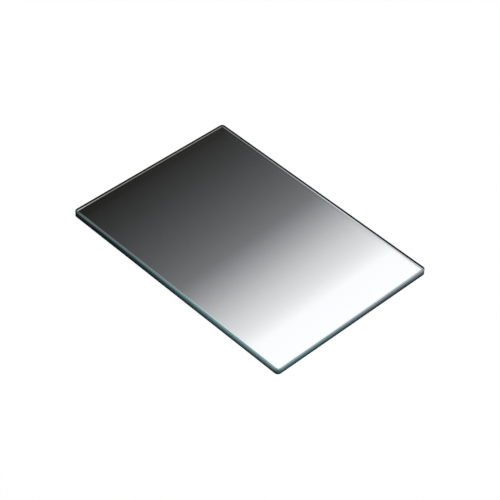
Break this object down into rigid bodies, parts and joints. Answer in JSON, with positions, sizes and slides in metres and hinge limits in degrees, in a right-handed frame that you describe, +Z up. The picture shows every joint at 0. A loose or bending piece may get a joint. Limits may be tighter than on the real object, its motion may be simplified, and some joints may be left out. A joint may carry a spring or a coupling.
{
  "type": "graduated neutral density filter plate",
  "caption": "Flat rectangular glass camera filter, dark at one short end and fading softly to clear at the other, with polished rounded corners.",
  "frame": {"origin": "centre of the underside face, which the plate lies on", "axes": "+X along the long side from the dark end to the clear end, +Y across the plate, +Z up through its thickness"},
  "size_m": [0.1436, 0.1016, 0.004],
  "materials": {
    "graduated_glass": "polished"
  },
  "bodies": {
    "root": {"filter_plate": "graduated_glass"}
  },
  "joints": []
}
